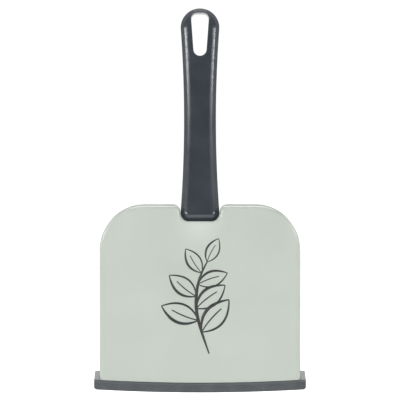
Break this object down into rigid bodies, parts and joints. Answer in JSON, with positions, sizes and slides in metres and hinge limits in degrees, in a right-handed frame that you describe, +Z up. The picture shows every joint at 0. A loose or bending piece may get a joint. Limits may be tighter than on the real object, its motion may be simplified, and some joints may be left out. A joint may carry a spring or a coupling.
{
  "type": "dustpan",
  "caption": "Handheld dustpan with a flared pan, a soft rubber front lip and a plug-in handle with a hanging slot.",
  "frame": {"origin": "where a hook bears: the top of the hanging slot, on the middle line, in the middle of the handle's thickness", "axes": "+Z up along the handle as the dustpan hangs, +X to the right, the flat underside faces -Y and the pan opens towards +Y"},
  "size_m": [0.2104, 0.0472, 0.3852],
  "materials": {
    "pan_plastic": "gloss",
    "handle_plastic": "gloss",
    "lip_rubber": "satin"
  },
  "bodies": {
    "root": {"pan_body": "pan_plastic", "handle": "handle_plastic", "front_lip": "lip_rubber"}
  },
  "joints": []
}
